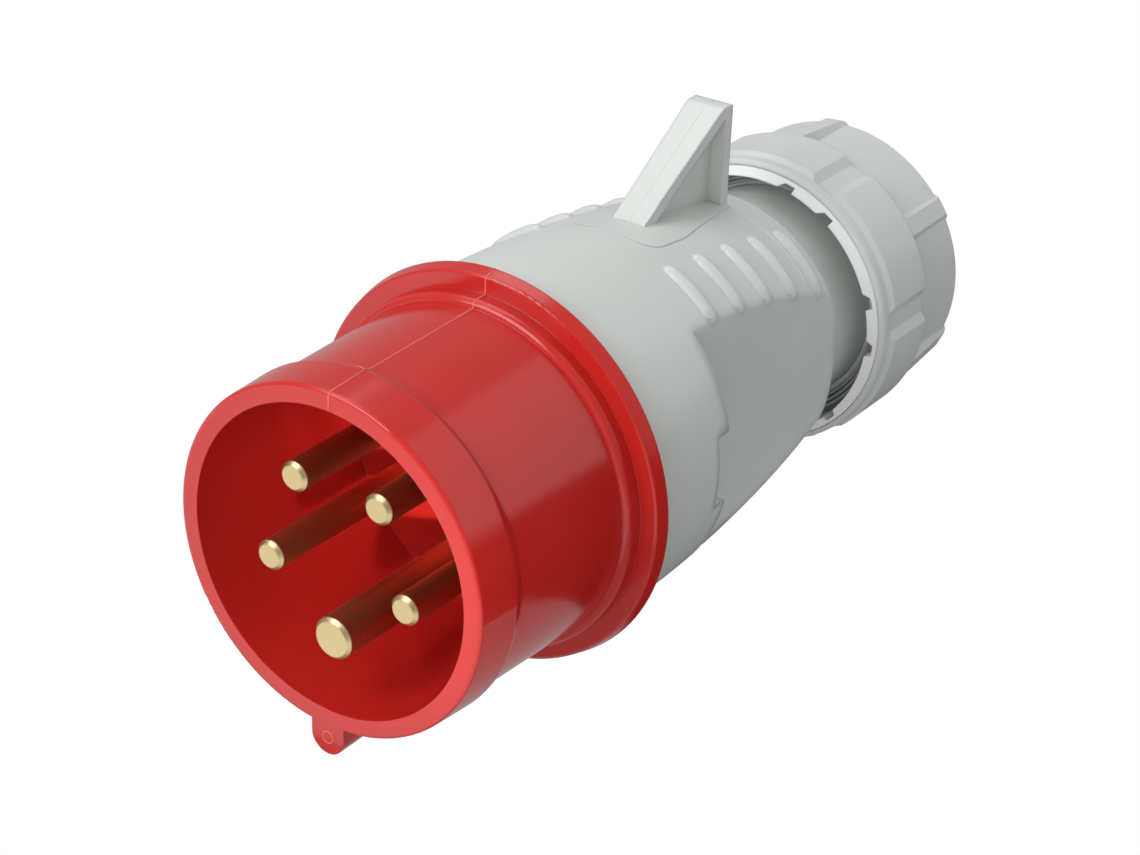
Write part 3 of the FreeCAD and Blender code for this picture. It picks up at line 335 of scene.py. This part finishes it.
def red_material():
    """The shroud's glossy red plastic, which lets a little light in."""
    material = moulded_material("red_shell", (0.52, 0.016, 0.012), (0.57, 0.021, 0.016), 0.14, 0.20)
    shader = material.node_tree.nodes["Principled BSDF"]
    shader.inputs["Subsurface Weight"].default_value = 0.15
    shader.inputs["Subsurface Radius"].default_value = (0.002, 0.001, 0.001)
    shader.inputs["Subsurface Scale"].default_value = 1.0
    return material


def metal_material(name, dark, light, rough_low, rough_high):
    """Metal whose colour and gloss drift slightly, with a faint grain."""
    material = moulded_material(name, dark, light, rough_low, rough_high, bump=0.01, grain=400.0, cloud=15.0)
    material.node_tree.nodes["Principled BSDF"].inputs["Metallic"].default_value = 1.0
    return material


def dress_nodes(grey):
    """Give every node of the frame its finish."""
    carrier = moulded_material("carrier_shell", (0.05, 0.05, 0.05), (0.08, 0.08, 0.08), 0.4, 0.5)
    white = moulded_material("white_shell", (0.70, 0.70, 0.67), (0.78, 0.78, 0.75), 0.35, 0.45)
    rubber = moulded_material("black_seal", (0.012, 0.012, 0.012), (0.02, 0.02, 0.02), 0.6, 0.75)
    brass = metal_material("brass_pin", (0.54, 0.43, 0.22), (0.59, 0.475, 0.25), 0.32, 0.42)
    steel = metal_material("zinc_steel", (0.55, 0.55, 0.54), (0.65, 0.65, 0.63), 0.25, 0.35)
    finishes = {
        "shroud": red_material(),
        "rear_housing": grey,
        "gland_nut": moulded_material("nut_shell", (0.60, 0.625, 0.615), (0.64, 0.665, 0.655), 0.32, 0.42),
        "ratchet_ring": moulded_material("ring_shell", (0.84, 0.86, 0.84), (0.88, 0.90, 0.88), 0.32, 0.42),
        "contact_carrier": carrier,
        "contact_retainer": carrier,
        "terminal_screws": steel,
        "retainer_screws": steel,
        "wire_saddles": steel,
        "housing_gasket": rubber,
        "sealing_insert": rubber,
        "seal_washer": white,
        "clamp_cage": white,
        "pin_earth": brass,
        "pin_l1": brass,
        "pin_l2": brass,
        "pin_l3": brass,
        "pin_neutral": brass,
    }
    for name, material in finishes.items():
        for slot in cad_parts[name].material_slots:
            slot.material = material


def add_piece(name, vertices, faces, material, body):
    """A mesh piece that rides on a body and takes the given finish."""
    mesh = bpy.data.meshes.new(name)
    mesh.from_pydata(vertices, [], faces)
    mesh.validate()
    mesh.polygons.foreach_set("use_smooth", [True] * len(mesh.polygons))
    mesh.materials.append(material)
    piece = bpy.data.objects.new(name, mesh)
    bpy.context.collection.objects.link(piece)
    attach(piece, body)


def sweep(points, outward, width, height, sink, closed):
    """A low rounded ridge along points with normals outward: its vertices, in metres, and its faces."""
    count = len(points)
    size = len(RIDGE_SECTION)
    vertices, faces = [], []
    for index, (point, normal) in enumerate(zip(points, outward)):
        before = points[(index - 1) % count] if closed or index else point
        after = points[(index + 1) % count] if closed or index < count - 1 else point
        along = (after - before).normalized()
        side = along.cross(normal).normalized()
        for across, rise in RIDGE_SECTION:
            lift = rise * height if rise > 0 else -sink
            vertices.append((point + side * (across * width) + normal * lift) / 1000.0)
    for index in range(count if closed else count - 1):
        first = index * size
        second = (index + 1) % count * size
        for step in range(size):
            follow = (step + 1) % size
            faces.append((first + step, first + follow, second + follow, second + step))
    if not closed:
        faces.append(tuple(range(size - 1, -1, -1)))
        faces.append(tuple(range((count - 1) * size, count * size)))
    return vertices, faces


def add_ridge(name, points, outward, width, height, material, body="root", sink=0.05, closed=False):
    """A fine raised line. Points, width, height and sink are in millimetres."""
    vertices, faces = sweep(points, outward, width, height, sink, closed)
    add_piece(name, vertices, faces, material, body)


def shroud_outline():
    """Top outline of the red front as (station, height) points, from the rim to the flange's back."""
    rim = [(0.0, 25.5), (0.0, 27.9), (0.18, 28.32), (0.6, 28.5), (8.0, 28.9)]
    lip_end = [(8.6, 28.80), (9.1, 28.45), (9.6, 28.10), (10.2, 28.0)]
    waist = [(14.0, 28.12), (18.0, 28.25), (24.0, 28.45), (30.0, 28.65), (34.8, 28.8)]
    shoulder = [(34.9, 29.25), (35.15, 29.65), (35.55, 29.9), (36.0, 30.0), (37.9, 30.0)]
    flange = [(37.9, 32.5), (38.05, 32.85), (38.4, 33.0), (40.3, 33.5)]
    return rim + lip_end + waist + shoulder + flange


def outline_normals(points):
    """Directions across an outline in the X = 0 plane, away from the axis or towards the front."""
    normals = []
    for index in range(len(points)):
        before = points[max(index - 1, 0)]
        after = points[min(index + 1, len(points) - 1)]
        along = Vector((0.0, after[0] - before[0], after[1] - before[1])).normalized()
        normals.append(Vector((0.0, -along.z, along.y)))
    return normals


def add_shroud_lines(red):
    """The mould's line along the red front, which jogs aside on the lip, and the short dash at the jog."""
    lip_length, jog = 8.3, 0.8
    outline = shroud_outline()
    points = [Vector((jog if station < lip_length else 0.0, station, height)) for station, height in outline]
    # red is a red lighter than the shroud's own: a painted highlight along the line and the dash.
    add_ridge("parting_line_shroud", points, outline_normals(outline), 0.34, 0.13, red)
    dash = [Vector((-1.1, 8.55, 28.82)), Vector((0.7, 8.65, 28.77))]
    add_ridge("parting_dash_shroud", dash, [Vector((0.0, 0.3, 0.95))] * 2, 0.3, 0.12, red)


def add_catch_line(grey):
    """The mould's line up the catch's slope and over its top."""
    foot, top = Vector((0.0, 75.7, 28.76)), Vector((0.0, 97.6, 42.88))
    slope = Vector((0.0, -0.542, 0.840))
    ridge = [foot, foot.lerp(top, 0.5), top, Vector((0.0, 99.3, 43.38)), Vector((0.0, 100.9, 43.4))]
    outward = [slope, slope, (slope + Z_AXIS).normalized(), Z_AXIS, Z_AXIS]
    # grey is a grey lighter than the housing's own: a painted highlight along the line.
    add_ridge("parting_line_catch", ridge, outward, 0.26, 0.07, grey)


def ring_points(radius, station, height=0.0, start=0.0, end=360.0, count=40):
    """Points round an axis along Y at the given height, and the directions away from it."""
    points, outward = [], []
    steps = count if end - start >= 360.0 else count - 1
    for index in range(count):
        angle = math.radians(start + (end - start) * index / steps)
        direction = Vector((math.cos(angle), 0.0, math.sin(angle)))
        points.append(Vector((0.0, station, height)) + direction * radius)
        outward.append(direction)
    return points, outward


def barrel_radius(station):
    """Radius of the housing's bowed barrel at a station."""
    return BARREL_RADIUS - BOW_RADIUS + math.sqrt(BOW_RADIUS ** 2 - (station - BOW_STATION) ** 2)


def add_key_marks(red):
    """The mould's line under the key and the ejector's round mark on the key's front."""
    under = [Vector((0.0, 0.05, -33.28)), Vector((0.0, 4.0, -33.3)), Vector((0.0, 7.95, -33.3))]
    # red is a red lighter than the shroud's own: a painted highlight along the line and round the mark.
    add_ridge("parting_line_key", under, [-Z_AXIS] * 3, 0.3, 0.1, red)
    points, _ = ring_points(1.0, 0.0, height=-30.4)
    outward = [Vector((0.0, -1.0, 0.0))] * len(points)
    add_ridge("ejector_mark", points, outward, 0.28, 0.07, red, closed=True)


def add_step_lines(grey):
    """The fine step round the rear of the housing, on both sides of the catch."""
    # grey is a grey lighter than the housing's own: a painted highlight along the step.
    for name, start, end in (("right", 36.0, 80.0), ("left", 100.0, 144.0)):
        points, outward = ring_points(barrel_radius(STEP_STATION), STEP_STATION, start=start, end=end)
        add_ridge("step_line_" + name, points, outward, 0.5, 0.07, grey)


def add_nut_thread(thread):
    """The first turns of the nut's thread, seen in its mouth behind the ratchet ring."""
    turns, points_per_turn, start_angle = 3.2, 64, 200.0
    first_station, length = 123.15, 1.75
    first_radius, taper = 23.2, 2.5
    lean_forward, lean_inward = 0.8, 0.6
    points, outward = [], []
    total = int(turns * points_per_turn)
    for index in range(total + 1):
        part = index / total
        angle = math.radians(start_angle + 360.0 * turns * part)
        direction = Vector((math.cos(angle), 0.0, math.sin(angle)))
        station = Vector((0.0, first_station + length * part, 0.0))
        points.append(station + direction * (first_radius - taper * part))
        outward.append((Vector((0.0, -lean_forward, 0.0)) - direction * lean_inward).normalized())
    # thread is a grey darker than the nut's own: painted shade on the turns in the nut's mouth.
    add_ridge("nut_thread_start", points, outward, 0.62, 0.34, thread, "gland_nut", sink=0.4)


def rib_crest(station, side, rows=40, steps=12):
    """Vertices, in metres, and faces of one full round crest that fades out at both ends."""
    surface = barrel_radius(station)
    low = math.acos(RIB_LOWER_X / surface)
    high = math.acos(RIB_UPPER_X / surface)
    fade_power = 7
    vertices, faces = [], []
    for index in range(rows + 1):
        part = index / rows
        angle = low + (high - low) * part
        fade = math.sqrt(max(0.0, 1.0 - abs(2.0 * part - 1.0) ** fade_power))
        for step in range(steps + 1):
            turn = math.pi * step / steps
            along = CREST_HALF_WIDTH * fade * math.cos(turn)
            radius = surface - CREST_SINK + CREST_HEIGHT * math.sin(turn) * fade
            vertex = Vector((side * radius * math.cos(angle), station + along, radius * math.sin(angle)))
            vertices.append(vertex / 1000.0)
    width = steps + 1
    for index in range(rows):
        for step in range(steps):
            first = index * width + step
            corners = (first, first + 1, first + width + 1, first + width)
            faces.append(corners if side > 0 else corners[::-1])
    return vertices, faces


def add_rib_crests(grey):
    """The round tops of the grip ribs, on both sides of the housing."""
    for number in range(RIB_COUNT):
        station = RIB_STATION + RIB_PITCH * number
        for name, side in (("right", 1.0), ("left", -1.0)):
            vertices, faces = rib_crest(station, side)
            add_piece(f"rib_crest_{name}_{number}", vertices, faces, grey, "root")


def add_fine_pieces(grey):
    """All that is too fine for the solids: lines and marks of the mould, thread turns and rib crests."""
    # The mould's lines on the shroud get a red lighter than the shroud's own: a painted highlight along
    # them.
    red_line_highlight = moulded_material("red_line_painted_highlight", (0.78, 0.10, 0.08), (0.84, 0.14, 0.11), 0.14, 0.20, LINE_EDGE)
    # The mould's lines on the housing get a grey lighter than the housing's own: a painted highlight along
    # them.
    grey_line_highlight = moulded_material("grey_line_painted_highlight", (0.66, 0.69, 0.67), (0.70, 0.73, 0.71), 0.28, 0.36, LINE_EDGE)
    # The thread turns get a grey darker than the nut's own: painted shade in the nut's mouth.
    thread = moulded_material("thread_painted_shade", (0.40, 0.42, 0.41), (0.46, 0.48, 0.47), 0.32, 0.42, LINE_EDGE)
    add_shroud_lines(red_line_highlight)
    add_catch_line(grey_line_highlight)
    add_key_marks(red_line_highlight)
    add_step_lines(grey_line_highlight)
    add_nut_thread(thread)
    add_rib_crests(grey)


bpy.context.scene.view_settings.view_transform = "Standard"
add_camera()
add_lights()
add_flags()
add_floor()
grey_shell = moulded_material("grey_shell", (0.61, 0.638, 0.615), (0.65, 0.678, 0.655), 0.28, 0.36,
                              rounding=housing_rounding)
dress_nodes(grey_shell)
add_fine_pieces(grey_shell)
